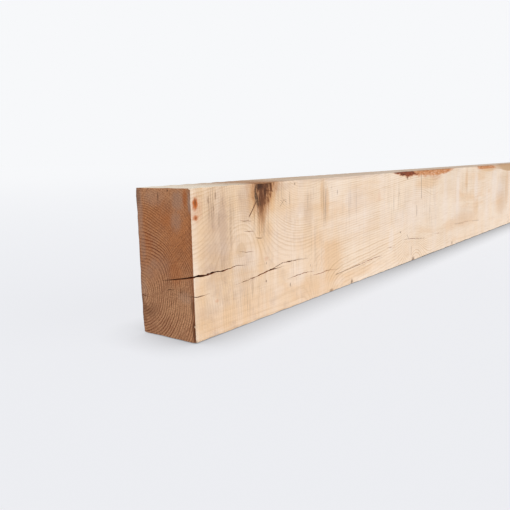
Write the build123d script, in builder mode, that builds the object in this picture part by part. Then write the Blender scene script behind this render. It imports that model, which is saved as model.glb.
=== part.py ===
from build123d import *
import os
from math import hypot

# A rough-sawn softwood timber of 75 x 150 mm that lies on its narrow face.
# +X runs along it, away from the checked end, +Z is up, and the face with the drying checks
# looks to -Y. The origin is the middle of its underside.

# Sawn section and stock length
stock_length = 2400.0
section_width = 75.0
section_height = 150.0
arris_radius = 1.2

# Pith of the log: how far it lies behind the checked face, and above the underside
pith_inset = 93.0
pith_height = 42.0

# Wane on the upper front arris: at each distance from the checked end, how far the log's own
# surface lies inside the arris, along the ray from the pith. Below zero the arris is whole.
wane_bites = [
    (250.0, -14.0),
    (405.0, -10.0),
    (442.0, -4.6),
    (468.0, 0.2),
    (492.0, 2.2),
    (514.0, 4.2),
    (540.0, 3.2),
    (568.0, 3.4),
    (597.0, 4.6),
    (637.0, 5.2),
    (681.0, 4.2),
    (712.0, 1.6),
    (740.0, -1.4),
    (800.0, -2.8),
    (868.0, 0.4),
    (905.0, 3.2),
    (940.0, 5.6),
    (985.0, 7.2),
    (1030.0, 6.4),
    (1065.0, 7.0),
    (1105.0, 9.4),
    (1160.0, 11.2),
    (1240.0, 10.4),
    (1330.0, 6.5),
    (1430.0, 0.5),
    (1540.0, -6.0),
    (1800.0, -14.0),
]
# Where no wane is near, the log's surface clears the arris by this much
log_clearance = 16.0

# Bruise of the lower back arris, which runs out along the timber
bruise_width = 2.6
bruise_height = 26.0
bruise_run = 430.0

# The cutting forms start this far outside the timber, and a chip or bruise runs out to this share
cut_clearance = 2.0
run_out_share = 0.03

# Drying checks of the front face, each with its depth and its line on the face. A line's points
# are distance from the checked end, height above the underside and opening.
end_check_depth = 44.0
end_check = [
    (-2.0, 65.6, 3.4),
    (7.0, 65.9, 3.1),
    (18.0, 65.0, 2.5),
    (30.0, 65.6, 2.0),
    (44.0, 64.9, 1.5),
    (57.0, 65.7, 1.1),
    (66.0, 66.8, 0.7),
    (84.0, 64.6, 0),
]
low_end_check_depth = 9.0
low_end_check = [(-2.0, 46.6, 1.0), (10.0, 45.2, 0.8), (24.0, 45.6, 0)]
face_checks = [
    (12.0, [(62.0, 46.6, 0), (80.0, 47.9, 1.2), (100.0, 49.3, 1.5), (122.0, 52.0, 1.4), (154.0, 52.4, 0)]),
    (8.0, [(146.0, 56.9, 0), (163.0, 56.0, 1.0), (182.0, 55.7, 0.9), (210.0, 53.2, 0)]),
    (10.0, [(155.0, 35.4, 0), (179.0, 36.7, 1.3), (197.0, 37.1, 1.3), (224.0, 34.8, 0)]),
    (10.0, [(209.0, 31.3, 0), (232.0, 29.6, 1.3), (253.0, 30.6, 1.1), (285.0, 27.4, 0)]),
    (10.0, [(310.0, 24.5, 0), (343.0, 23.9, 1.2), (390.0, 26.4, 1.3), (424.0, 25.8, 0)]),
    (6.0, [(428.0, 35.9, 0), (446.0, 34.4, 0.9), (468.0, 32.6, 0)]),
    (9.0, [(487.0, 41.4, 0), (532.0, 38.1, 1.2), (565.0, 34.4, 1.0), (602.0, 30.8, 0)]),
    (7.0, [(628.0, 34.9, 0), (660.0, 32.6, 1.0), (690.0, 30.7, 0)]),
    (8.0, [(752.0, 41.0, 0), (805.0, 39.2, 1.2), (862.0, 37.2, 0)]),
]
# The checks narrow along rays that meet behind the face, at the pith's inset and at this height
check_aim_height = 49.0
# Opening at a check's root and at its two tips, and the share of its run that reaches the root
root_opening = 0.12
tip_opening = 0.06
face_check_reach = 0.55
end_check_reach = 0.38

# Chips out of the lower front arris: distance from the checked end, run, height and depth
arris_chips = [(260.0, 13.0, 3.0, 3.0), (319.0, 9.0, 8.0, 3.0), (539.0, 16.0, 6.0, 3.5)]
# Chip out of the upper front corner of the checked end: run, height and depth
corner_chip = (9.0, 3.6, 6.0)

end_x = -stock_length / 2
front_y = -section_width / 2
back_y = section_width / 2
pith_y = front_y + pith_inset
arris_radius_from_pith = hypot(pith_inset, section_height - pith_height)


def check_cutter(line, depth, reach):
    """A check that follows its line on the face and narrows along the rays of the wood."""
    opens_at_end = line[0][2] > 0
    deepest = line[0][0] if opens_at_end else line[len(line) // 2][0]
    clearance_share = cut_clearance / depth

    def outline(inset, opening_share, run_share):
        upper = []
        lower = []
        for along, height, opening in line:
            x = end_x + deepest + (along - deepest) * run_share
            z = height + (check_aim_height - height) * inset / pith_inset
            gap = max(opening * opening_share, root_opening) if opening else tip_opening
            upper.append((x, z + gap / 2))
            lower.append((x, z - gap / 2))
        return upper + lower[::-1]

    mouth = outline(-cut_clearance, 1 + clearance_share, 1 + (1 - reach) * clearance_share)
    root = outline(depth, 0, reach)
    with BuildPart() as cutter:
        for inset, ring in ((-cut_clearance, mouth), (depth, root)):
            with BuildSketch(Plane.XZ.offset(-front_y - inset)):
                with BuildLine():
                    Polyline(*ring, close=True)
                make_face()
        loft(ruled=True)
    return cutter.part


def chip_cutter(x, z, run, height, depth):
    """A chip out of a front arris, widest in its middle: height is above z, or below it if negative."""
    with BuildPart() as cutter:
        for along, share in ((-run / 2, run_out_share), (0, 1), (run / 2, run_out_share)):
            with BuildSketch(Plane.YZ.offset(x + along)):
                Polygon(
                    (front_y, z),
                    (front_y + depth * share, z),
                    (front_y, z + height * share),
                    align=None,
                )
        loft(ruled=True)
    return cutter.part


# The log, turned about its pith: its surface reaches into the section only at the wane
log_ends = ((-cut_clearance, -log_clearance), (stock_length + cut_clearance, -log_clearance))
log_profile = [
    (end_x + along, pith_height + arris_radius_from_pith - bite)
    for along, bite in [log_ends[0], *wane_bites, log_ends[1]]
]
with BuildPart() as log:
    with BuildSketch(Plane.XZ.offset(-pith_y)):
        with BuildLine():
            Spline(*log_profile)
            Polyline(
                log_profile[-1],
                (log_profile[-1][0], pith_height),
                (log_profile[0][0], pith_height),
                log_profile[0],
            )
        make_face()
    revolve(axis=Axis((0, pith_y, pith_height), (1, 0, 0)))

# The bruise, deepest at the checked end
with BuildPart() as bruise:
    for along, share in ((-cut_clearance, 1), (bruise_run, run_out_share)):
        with BuildSketch(Plane.YZ.offset(end_x + along)):
            Polygon(
                (back_y - bruise_width * share, 0),
                (back_y + cut_clearance, -cut_clearance * share),
                (back_y, bruise_height * share),
                align=None,
            )
    loft(ruled=True)

cutters = [
    bruise.part,
    check_cutter(end_check, end_check_depth, end_check_reach),
    check_cutter(low_end_check, low_end_check_depth, end_check_reach),
]
for depth, line in face_checks:
    cutters.append(check_cutter(line, depth, face_check_reach))
for along, run, height, depth in arris_chips:
    cutters.append(chip_cutter(end_x + along, 0, run, height, depth))
chip_run, chip_height, chip_depth = corner_chip
cutters.append(chip_cutter(end_x, section_height, chip_run, -chip_height, chip_depth))

# The timber: its sawn section, less what lies outside the log, and less every cut
with BuildPart() as timber_plank:
    with BuildSketch(Plane.YZ.offset(end_x)):
        with Locations((0, section_height / 2)):
            Rectangle(section_width, section_height)
        fillet(vertices(), arris_radius)
    extrude(amount=stock_length)
    add(log.part, mode=Mode.INTERSECT)
    for cutter in cutters:
        add(cutter, mode=Mode.SUBTRACT)

timber_plank.part.label = "timber_plank"
os.makedirs("parts", exist_ok=True)
export_step(timber_plank.part, "parts/timber_plank.step")
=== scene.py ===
import math
import random

import bmesh
import bpy
from mathutils import Matrix, Vector


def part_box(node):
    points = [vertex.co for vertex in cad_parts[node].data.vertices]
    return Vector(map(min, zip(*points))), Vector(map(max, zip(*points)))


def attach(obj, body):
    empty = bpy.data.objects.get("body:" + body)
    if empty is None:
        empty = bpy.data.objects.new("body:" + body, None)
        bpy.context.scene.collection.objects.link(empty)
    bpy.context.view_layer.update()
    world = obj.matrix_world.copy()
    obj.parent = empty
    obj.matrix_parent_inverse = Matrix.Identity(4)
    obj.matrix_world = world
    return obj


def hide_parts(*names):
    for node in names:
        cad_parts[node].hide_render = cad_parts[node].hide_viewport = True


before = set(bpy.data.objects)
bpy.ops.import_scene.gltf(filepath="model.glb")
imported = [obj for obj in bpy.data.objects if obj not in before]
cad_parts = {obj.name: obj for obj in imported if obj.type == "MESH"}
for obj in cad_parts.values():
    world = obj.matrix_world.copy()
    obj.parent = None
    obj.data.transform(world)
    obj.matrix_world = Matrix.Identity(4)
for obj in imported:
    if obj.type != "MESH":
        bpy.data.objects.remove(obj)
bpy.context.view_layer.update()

bl_info = {
    "name": "Rough-sawn timber",
    "version": (1, 0, 0),
    "blender": (4, 5, 0),
    "location": "3D View > Sidebar > Timber",
    "description": "Dresses a sawn softwood timber with its grain, saw marks, checks, wane and bark",
    "category": "Object",
}

MM = 0.001
LOW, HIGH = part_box("timber_plank")
NEAR, FRONT, BACK, TOP = LOW.x, LOW.y, HIGH.y, HIGH.z
STOCK_LENGTH, SECTION_WIDTH, SECTION_HEIGHT = HIGH - LOW

# The pith of the log, from the checked face and from the underside
PITH_INSET = 93 * MM
PITH_HEIGHT = 42 * MM
ARRIS_FROM_PITH = math.hypot(PITH_INSET, SECTION_HEIGHT - PITH_HEIGHT)
CHECK_AIM_HEIGHT = 49  # mm, where the rays of the checks meet, at the pith's inset

# Wane: distance from the checked end, and how far the log's surface lies inside the arris, in mm
WANE_BITES = [
    (-2, -16), (250, -14), (405, -10), (442, -4.6), (468, 0.2), (492, 2.2), (514, 4.2), (540, 3.2),
    (568, 3.4), (597, 4.6), (637, 5.2), (681, 4.2), (712, 1.6), (740, -1.4), (800, -2.8), (868, 0.4),
    (905, 3.2), (940, 5.6), (985, 7.2), (1030, 6.4), (1065, 7), (1105, 9.4), (1160, 11.2),
    (1240, 10.4), (1330, 6.5), (1430, 0.5), (1540, -6), (1800, -14), (2402, -16),
]
BITE_RANGE = 20  # mm, the span that the wane's curve is scaled to

# Drying checks of the front face, in mm: depth, reach of the root, then points of distance from
# the checked end, height and opening
FACE_CHECKS = [
    (44, 0.38, [(-2, 65.6, 2.9), (7, 65.9, 2.7), (18, 65, 2.2), (30, 65.6, 1.8), (44, 64.9, 1.4),
                (57, 65.7, 1.1), (66, 66.8, 0.7), (84, 64.6, 0)]),
    (9, 0.4, [(-2, 46.6, 1), (10, 45.2, 0.8), (24, 45.6, 0)]),
    (12, 0.55, [(62, 46.6, 0), (80, 47.9, 0.7), (100, 49.3, 1.0), (122, 52, 1.5), (154, 52.4, 0)]),
    (8, 0.55, [(146, 56.9, 0), (163, 56, 1.1), (182, 55.7, 0.6), (210, 53.2, 0)]),
    (10, 0.55, [(155, 35.4, 0), (179, 36.7, 0.8), (197, 37.1, 0.8), (224, 34.8, 0)]),
    (10, 0.55, [(209, 31.3, 0), (232, 29.6, 0.8), (253, 30.6, 0.7), (285, 27.4, 0)]),
    (10, 0.55, [(310, 24.5, 0), (343, 23.9, 0.7), (390, 26.4, 0.9), (424, 25.8, 0)]),
    (6, 0.55, [(428, 35.9, 0), (446, 34.4, 0.6), (468, 32.6, 0)]),
    (9, 0.55, [(487, 41.4, 0), (532, 38.1, 0.8), (565, 34.4, 0.7), (602, 30.8, 0)]),
    (7, 0.55, [(628, 34.9, 0), (660, 32.6, 0.5), (690, 30.7, 0)]),
    (8, 0.55, [(752, 41, 0), (805, 39.2, 0.45), (862, 37.2, 0)]),
    (4, 0.5, [(70, 113.4, 0), (84, 111.4, 0.7), (97, 110.6, 0)]),
    (4, 0.5, [(77, 101.6, 0), (88, 99.8, 0.7), (98, 99.2, 0)]),
    (4, 0.5, [(69, 81, 0), (83, 78.6, 0.8), (97, 77.6, 0)]),
    (3, 0.5, [(98, 92, 0), (105, 91, 0.6), (113, 90, 0)]),
]
# Fine checks of the checked end: depth, reach, then distance in from the front face, height, opening
END_CHECKS = [
    (9, 0.5, [(77, 41.6, 0.9), (70, 40.2, 0.8), (62, 39.2, 0)]),
    (6, 0.5, [(39, 49, 0), (33, 50, 0.7), (25, 51, 0)]),
    (6, 0.5, [(19, 50.2, 0), (15, 50.7, 0.8), (11, 51.2, 0)]),
]
# Chips out of the front arrises, in mm: distance from the checked end, height, run, and how far
# each reaches up or down and in
CHIPS = [
    (260, 0, 13, 3, 3), (319, 0, 9, 8, 3), (539, 0, 16, 6, 3.5), (0, 150, 9, -3.6, 6),
    (0, 0, 8, 3, 3.5), (58, 150, 12, -1.6, 2.2), (372, 0, 10, 2.5, 2), (707, 0, 14, 3, 2.5),
]
# Chips out of the checked end's front arris: height, run, reach along the timber and in
END_CHIPS = [
    (137, 10, 1.6, 1.6), (97, 9, 1.0, 1.8), (84, 6, 1.4, 1.2), (33, 12, 1.2, 2.0), (17, 9, 2.2, 2.4),
]
MOUTH_CLEARANCE = 2.0  # mm that a cutting form starts outside the timber
ROOT_OPENING = 0.12  # mm
TIP_OPENING = 0.06  # mm

# The spike knot at the upper front arris: where its point lies, how far its top leans from there,
# its half-widths at the arris and at the point, and how far it runs down the front and back over
# the top
KNOT_TIP = 106.5 * MM
KNOT_LEAN = 10.5 * MM
KNOT_HALF_WIDTH = 19.5 * MM
KNOT_POINT_HALF_WIDTH = 1.1 * MM
KNOT_RUN_DOWN = 48 * MM
KNOT_RUN_BACK = 34 * MM

# The crook of the log: it sets in and ends between these distances in mm, and lowers the middle
# of the rings by CROOK_DROP. On the front face the rings keep their place at CROOK_HINGE.
CROOK = (190, 300, 720, 820)
CROOK_DROP = 77 * MM
CROOK_HINGE = 90 * MM
CROOK_MIDDLE = 400 * MM
CROOK_RISE = 0.05
RING_INSET = 77 * MM  # the middle of the rings, from the checked face
RING_START = math.hypot(RING_INSET, CROOK_HINGE - PITH_HEIGHT)
# Waves of the rings on the checked end, in mm: distance in from the front face and height, half
# width and half height, and how far the rings bulge
RING_WAVES = [
    (40, 80, 22, 26, -8), (66, 122, 26, 26, -5), (8, 100, 16, 20, 6),
]

# Marks of the front face, in mm: distance from the checked end, height, half-length, half-height
# and strength
MARKS = {
    "Resin": [
        (6.5, 134.4, 5.2, 8, 1.0), (6.6, 121.5, 5, 3.8, 0.9), (8, 130, 10, 17, 0.25),
        (33, 36, 3.5, 2.2, 0.25), (118, 66, 4, 3, 0.22), (404, 118, 6, 10, 0.1),
        (640, 136, 30, 6, 0.2),
    ],
    "Dark": [
        (6.8, 136, 1.8, 4.4, 0.6), (6.8, 121.2, 1.8, 1.6, 0.45), (117, 41, 1.1, 1.9, 0.8),
        (165, 28, 1.0, 2.8, 0.7), (118, 61, 0.8, 2.2, 0.6), (177, 145.5, 0.9, 1.8, 0.8),
        (25, 137, 2.2, 5, 0.35), (36, 141, 1.6, 5, 0.45), (33, 128, 1.6, 3, 0.25),
        (46, 134, 1.4, 5, 0.2), (40, 116, 2.2, 9, 0.22), (210, 44, 1.0, 2.2, 0.4),
        (484, 54, 1.8, 1.8, 0.8), (0, 1, 3, 3, 0.5), (262, 2, 6, 3, 0.5), (319, 3, 4, 6, 0.5),
        (539, 3, 7, 5, 0.5), (478, 116, 1.2, 3.0, 0.3), (278, 130, 1.4, 4.2, 0.4), (734, 5, 6, 4, 0.4),
        (509, 140, 4, 3.4, 0.7), (262, 137, 1.0, 2.4, 0.3), (551, 82, 1.8, 9, 0.4),
    ],
    "Char": [
        (101.5, 138, 3, 11, 0.95), (110, 146, 9, 5, 0.85), (105, 130, 3.4, 9, 0.85),
        (120, 141, 3, 8, 0.5), (105, 120, 2.4, 9, 0.3), (110, 127, 2.4, 6, 0.4),
        (111, 137, 7, 10, 0.2), (126, 147, 5, 4, 0.4),
    ],
    "Smudge": [
        (38, 98, 25, 58, 0.3), (32, 88, 16, 14, 0.4), (46, 76, 10, 16, 0.4), (26, 70, 18, 8, 0.35),
        (46, 104, 9, 52, 0.5), (24, 84, 15, 22, 0.25), (31, 119, 9, 20, 0.35), (46, 84, 12, 26, 0.4),
        (30, 56, 20, 9, 0.22), (22, 27, 24, 10, 0.18), (75, 62, 22, 40, 0.15), (145, 144, 34, 6, 0.25),
        (205, 112, 16, 26, 0.2), (330, 118, 26, 22, 0.12), (118, 144, 26, 8, 0.3),
        (300, 148, 140, 3, 0.3), (84, 128, 14, 26, 0.28), (246, 126, 9, 26, 0.22),
        (1090, 80, 60, 60, 0.2), (800, 50, 90, 30, 0.12),
    ],
    "Warm": [
        (262, 45, 38, 34, 0.5), (600, 128, 70, 12, 0.4), (965, 141, 72, 5, 0.6),
        (719, 42, 44, 16, 0.3), (125, 97, 10, 10, 0.2), (7, 30, 10, 42, 0.4), (8, 105, 11, 44, 0.2),
        (60, 12, 74, 12, 0.22), (32, 126, 36, 36, 0.12), (640, 108, 12, 26, 0.12),
        (813, 124, 12, 26, 0.45), (880, 60, 26, 30, 0.3), (12, 112, 12, 60, 0.15),
        (108, 100, 10, 30, 0.3), (1130, 90, 20, 60, 0.4), (240, 128, 8, 28, 0.5),
        (252, 120, 6, 24, 0.45), (70, 20, 50, 14, 0.25), (94, 130, 10, 26, 0.6),
        (131, 134, 9, 24, 0.6), (112, 104, 9, 26, 0.35), (108, 66, 7, 26, 0.3),
        (122, 96, 10, 18, 0.35), (820, 44, 120, 18, 0.3), (160, 128, 40, 26, 0.18),
        (232, 60, 30, 34, 0.2), (1080, 60, 60, 34, 0.3),
    ],
    "Hatch": [
        (146, 137, 8, 12, 0.55), (163, 128, 8, 10, 0.6), (200, 124, 7, 26, 0.7),
        (216, 130, 5, 14, 0.6), (244, 112, 11, 28, 0.5), (30, 128, 12, 22, 0.45),
        (42, 104, 12, 40, 0.3), (60, 110, 8, 34, 0.4), (110, 118, 22, 30, 0.5),
        (226, 60, 18, 40, 0.45), (80, 30, 30, 24, 0.35), (320, 100, 30, 40, 0.3),
        (480, 100, 60, 40, 0.3), (620, 90, 40, 50, 0.3), (820, 110, 40, 40, 0.3),
        (176, 60, 10, 40, 0.4),
    ],
    # Among the Pale marks, the strip 3 mm from the checked end, over the whole height, is a painted
    # highlight along the front arris of the end
    "Pale": [
        (760, 97, 14, 60, 0.75), (880, 104, 16, 42, 0.7), (1020, 100, 30, 60, 0.7),
        (450, 48, 12, 26, 0.6), (425, 80, 24, 34, 0.4), (150, 82, 34, 40, 0.4), (176, 36, 26, 18, 0.4),
        (340, 96, 70, 44, 0.45), (560, 90, 60, 40, 0.4), (3, 75, 6, 90, 0.25), (90, 70, 34, 14, 0.35),
        (187, 114, 14, 12, 0.3), (143, 26, 14, 8, 0.35), (312, 117, 22, 18, 0.55),
        (480, 74, 30, 20, 0.55), (284, 12, 20, 7, 0.3), (1067, 90, 34, 22, 0.6), (47, 86, 8, 10, 0.25),
        (960, 70, 12, 50, 0.4), (690, 80, 20, 50, 0.35),
    ],
}
# Thin dark lines of the front face, in mm: both ends as distance and height, width and strength
STROKES = [
    (104, 132, 89.2, 115.6, 0.8, 1.0), (146, 121.5, 154, 128.5, 0.5, 0.55),
    (147, 129, 154, 123, 0.4, 0.4), (121, 141, 133, 139.5, 0.7, 0.7), (567, 145, 571, 103, 1.2, 0.6),
    (550, 92, 551, 76, 1.2, 0.4), (110, 147, 96, 124, 0.7, 0.4), (150, 131, 158, 126, 0.4, 0.5),
    (146, 128, 158, 128.5, 0.35, 0.35), (119, 147, 112, 118, 0.8, 0.4), (106, 118, 106, 93, 0.8, 0.4),
    (103, 90.4, 110, 90, 0.6, 0.6), (113, 112, 109, 96, 0.6, 0.3), (110, 122, 106, 104, 0.6, 0.35),
    (126, 52.3, 150, 56.7, 0.6, 0.85), (274, 21.4, 345, 24, 0.6, 0.7), (520, 38, 512, 46, 1.0, 0.4),
    (530, 10, 532, 24, 1.2, 0.4), (608, 62, 610, 84, 1.0, 0.14), (748, 41, 800, 37, 0.9, 0.25),
    (860, 36, 905, 33, 1.0, 0.3),
]
# Marks of the checked end, in mm: distance in from the front face, height and the same three
END_MARKS = {
    "Plain": [
        (38, 147, 60, 19, 0.95), (16, 123, 17, 32, 0.95), (76, 108, 10, 46, 0.85),
        (56, 66, 12, 17, 0.85), (62, 86, 8, 6, 0.6), (36, 102, 10, 8, 0.5), (73, 30, 6, 18, 0.6),
        (16, 42, 9, 6, 0.5),
    ],
    "Resin": [
        (7.6, 140, 3.4, 11, 0.6), (60, 96, 8, 12, 0.25), (24, 66, 10, 14, 0.3), (34, 118, 9, 8, 0.2),
    ],
    "Dark": [
        (43.5, 141, 1.0, 6.5, 0.6), (30, 147, 1.2, 1.2, 0.8), (18, 49, 3, 1.2, 0.5),
        (1.5, 12, 3.4, 16, 0.75), (3, 36, 3, 10, 0.5), (71, 141, 3, 12, 0.35), (74, 140, 2.5, 18, 0.3),
        (72, 20, 5, 12, 0.4), (0, 0, 4, 5, 0.5), (60, 27, 12, 10, 0.25), (70, 27, 6, 7, 0.5),
        (65, 23, 8, 6, 0.4), (73, 35, 3, 7, 0.5),
    ],
    "Smudge": [
        (2, 136, 2.4, 12, 0.9), (17, 137, 10, 12, 0.55), (20, 118, 9, 12, 0.5), (71, 124, 6, 34, 0.6),
        (50, 140, 16, 10, 0.35), (68, 92, 5, 20, 0.45), (52, 74, 9, 8, 0.3), (66, 66, 14, 10, 0.25),
        (70, 48, 6, 16, 0.35), (12, 44, 12, 7, 0.35), (45, 74, 14, 12, 0.2),
    ],
}
# Where the grain swells round a branch or a bump of the log: distance from the checked end and
# height, half-length and half-height, and how far the rings bulge, in mm
GRAIN_SWELLS = [
    (74, 104, 46, 44, -27), (192, 150, 58, 62, 33), (330, 150, 90, 40, 8), (548, 12, 40, 48, -18),
    (636, 84, 52, 50, 20), (900, 70, 160, 70, 7), (1400, 40, 210, 60, 12), (1750, 110, 200, 60, -9),
    (2080, 60, 180, 70, 12),
]

# How the tone of the timber changes from the checked end on, as distances from it in mm
HANDLED_FADE = (60, 340)  # the browner, handled part fades out
CUT_FADE = (0, 18)  # it is weak next to the cut
FAINT_RINGS = (600, 780)  # the rings turn fainter
FAR_SHADE_FADE = (420, 700)  # painted shade: the far part is painted a little darker
# the grey that the painted shade of the far part is multiplied by
FAR_SHADE_TONE = (0.965, 0.965, 0.965)
CLEAN_TOP = (20, 130)  # the clean part of the top fades out
DUSTY_TOP = (30, 90)  # the dust on the top sets in
KNOT_CLOUD = (132, 10, 56)  # the brown cloud on the top: its middle and where it fades on both sides
SECOND_WANE = (780, 800)  # the second run of wane starts, where only its top has inner bark
BARE_WANE = (985, 1110)  # the wane turns bare
# Heights in mm between which the checked end is warmer: where that sets in and where it ends
END_MIDDLE = ((44, 84), (126, 146))

# Shares of the stations, and the millimetres of the timber that each share covers
STATION_RUNS = [(0, 0.006, 2), (0.006, 0.3, 290), (0.3, 0.76, 900), (0.76, 0.994, 1206), (0.994, 1, 2)]
ARRIS_CROWDING = 0.8
SHARP_ANGLE = math.radians(38)  # edges that turn by more than this stay sharp
FACE_SWELL = 0.6 * MM  # how far the long faces swell and sink over a long stretch
END_RIPPLE = 0.7 * MM  # the depth of the saw's ripples on the ends
BRUISE = (2.6, 26.0, 430.0)  # mm: width, height and run
BRUISE_RUN_OUT = 0.03  # the share of the bruise that is left at the end of its run
# How much bark the wane keeps, by the share of the timber's length
BARK_COVER = [
    (0, 0), (0.17, 0), (0.19, 0.75), (0.205, 1.0), (0.22, 0.9), (0.234, 0.35), (0.26, 0.3), (0.3, 0.1),
    (0.42, 0), (0.5, 0.2), (0.56, 0.5), (0.62, 0.1), (1, 0),
]
# The same for the orange inner bark
BAST_COVER = [
    (0, 0), (0.175, 0), (0.19, 0.5), (0.232, 0.9), (0.29, 0.95), (0.31, 0.2), (0.365, 0.1),
    (0.376, 0.95), (0.425, 0.95), (0.436, 0.12), (0.5, 0.1), (1, 0),
]
CHECK_STEP = 3.4  # mm between the points of a check's line
CHECK_JITTER = 0.32  # mm that its line and walls waver
# How a chip widens and narrows again along its run
CHIP_SHARES = (0.05, 0.5, 0.8, 1.0, 0.75, 0.6, 0.05)

# The bake sheet, in mm: its side, the gap between faces, and where the ends and the checks lie
BAKE_MAP = "OFBake"
SHEET_GAP = 7
SHEET_SIDE = 1216
ENDS_LEFT = 7
ENDS_SCALE = 1.7
CHECK_STRIP = (545, 1209, 968)

# The photograph's camera, solved from the timber's edges in its 510-pixel frame
FRAME_PIXELS = 510
FOCAL_PIXELS = 580.0
CAMERA_YAW = math.radians(37.252)
CAMERA_PITCH = math.radians(9.297)
CAMERA_ROLL = math.radians(1.352)
CAMERA_PLACE = Vector((NEAR - 392.3 * MM, FRONT - 371.9 * MM, 173.84 * MM))

KEY_FROM = (0.3, -0.9, 0.35)  # the direction that the key light comes from
KEY_SPREAD = math.radians(55)
FLOOR_RADIUS = 60  # m
FLOOR_DROP = 0.2 * MM  # how far the floor lies under the timber
FADE_START = 0.8  # m from the camera, where the ground starts to turn into the backdrop
FADE_RATE = 0.42  # how fast it does, per metre
BOUNCE_TONE = (0.75, 0.75, 0.75)  # the ground for all light that the camera doesn't see
CONTACT_GROWS = (250, 550)  # mm from the checked end, between which the contact shadow darkens


def tone(red, green, blue):
    """A screen colour, 0 to 255, as the linear colour that a shader takes."""
    shares = [value / 255 for value in (red, green, blue)]
    return tuple(v / 12.92 if v <= 0.04045 else ((v + 0.055) / 1.055) ** 2.4 for v in shares)


def length(name, about, value):
    return bpy.props.FloatProperty(
        name=name, description=about, default=value, unit="LENGTH", precision=5)


def amount(name, about, value):
    return bpy.props.FloatProperty(name=name, description=about, default=value)


def colour(name, about, *screen):
    return bpy.props.FloatVectorProperty(
        name=name, description=about, default=tone(*screen), subtype="COLOR", size=3, min=0, max=1)


class TimberSizes(bpy.types.PropertyGroup):
    """Sizes of the timber's relief and how finely it is meshed"""
    arris_radius: length("Arris radius", "Rounding that handling leaves on the sawn arrises", 1.3 * MM)
    ring_spacing: length("Ring spacing", "Mean width of one year's growth", 2.9 * MM)
    feed_pitch: length("Feed mark pitch", "Distance between the waves that the saw leaves", 24 * MM)
    feed_depth: length("Feed mark depth", "Depth of the waves that the saw leaves", 0.35 * MM)
    tooth_pitch: length("Tooth mark pitch", "Distance between the saw's fine marks", 3.6 * MM)
    knot_recess: length("Knot recess", "How far the dead knot has shrunk below the surface", 1.6 * MM)
    stations: bpy.props.IntProperty(
        name="Stations", description="Rings of points along the timber", default=690)


class TimberColours(bpy.types.PropertyGroup):
    """Colours of the timber's surfaces"""
    cream: colour("Cream", "Palest sawn wood of the long faces", 251, 232, 212)
    tan: colour("Tan", "Darker sawn wood of the long faces", 240, 208, 174)
    latewood: colour("Latewood", "Dark line that ends each ring on the long faces", 208, 172, 130)
    warm: colour("Warm", "Resin-rich wood", 232, 184, 128)
    # pale also paints the highlight along the front arris of the checked end
    pale: colour("Pale", "Dried and bleached wood", 250, 234, 222)
    grey: colour("Grey", "Handling dirt on the long faces", 186, 156, 140)
    resin: colour("Resin", "Resin that has bled out", 196, 106, 46)
    mark: colour("Mark", "Specks, tears and fine cracks", 104, 60, 34)
    knot_brown: colour("Knot brown", "Wood round the dead knot", 188, 124, 70)
    knot_core: colour("Knot core", "The dead knot itself", 98, 52, 28)
    char: colour("Char", "Blackened parts of the dead knot", 42, 24, 16)
    bark: colour("Bark", "Bark left on the wane", 148, 72, 38)
    bast: colour("Bast", "Orange inner bark at the wane's edges", 214, 136, 68)
    bare_wane: colour("Bare wane", "Wane that has lost its bark", 206, 170, 132)
    end_light: colour("End light", "Earlywood of the cut ends", 242, 184, 138)
    end_dark: colour("End dark", "Weathered patches of the cut ends", 196, 138, 104)
    end_warm: colour("End warm", "Resin-rich patches of the cut ends", 220, 138, 80)
    end_dull: colour("End dull", "Dirt along the back arris of the cut ends", 128, 108, 96)
    end_ring: colour("End ring", "Latewood lines of the cut ends", 132, 68, 34)
    clean_top: colour("Clean top", "Clean wood of the top by the checked end", 255, 242.25, 223.28)
    check: colour("Check", "Walls of the drying checks", 206, 128, 82)


class TimberStage(bpy.types.PropertyGroup):
    """Light and ground of the picture"""
    key: amount("Key light", "Strength of the soft light from the front", 1.5)
    dome: amount("Dome light", "Strength of the light all round", 0.6)
    ground_share: amount("Ground share", "How much of the ground's paleness takes shadows", 0.12)
    ground_light: amount("Ground light", "Light that falls on the open ground", 0.76)
    floor: colour("Floor", "The ground by the timber", 236.5, 237.5, 241.5)
    backdrop: colour("Backdrop", "The ground far off and what is behind it", 247, 248, 250)
    contact_reach: length("Contact reach", "How far the contact shadow spreads", 54 * MM)
    contact_depth: amount("Contact depth", "How dark the contact shadow is", 1.0)


class Field:
    """A node's output that takes part in a formula."""

    def __init__(self, maker, socket):
        self.maker = maker
        self.socket = socket

    def __add__(self, other):
        return self.maker.math("ADD", self, other)

    def __sub__(self, other):
        return self.maker.math("SUBTRACT", self, other)

    def __rsub__(self, other):
        return self.maker.math("SUBTRACT", other, self)

    def __rtruediv__(self, other):
        return self.maker.math("DIVIDE", other, self)

    def __mul__(self, other):
        return self.maker.math("MULTIPLY", self, other)

    def __truediv__(self, other):
        return self.maker.math("DIVIDE", self, other)

    __radd__ = __add__
    __rmul__ = __mul__


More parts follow.
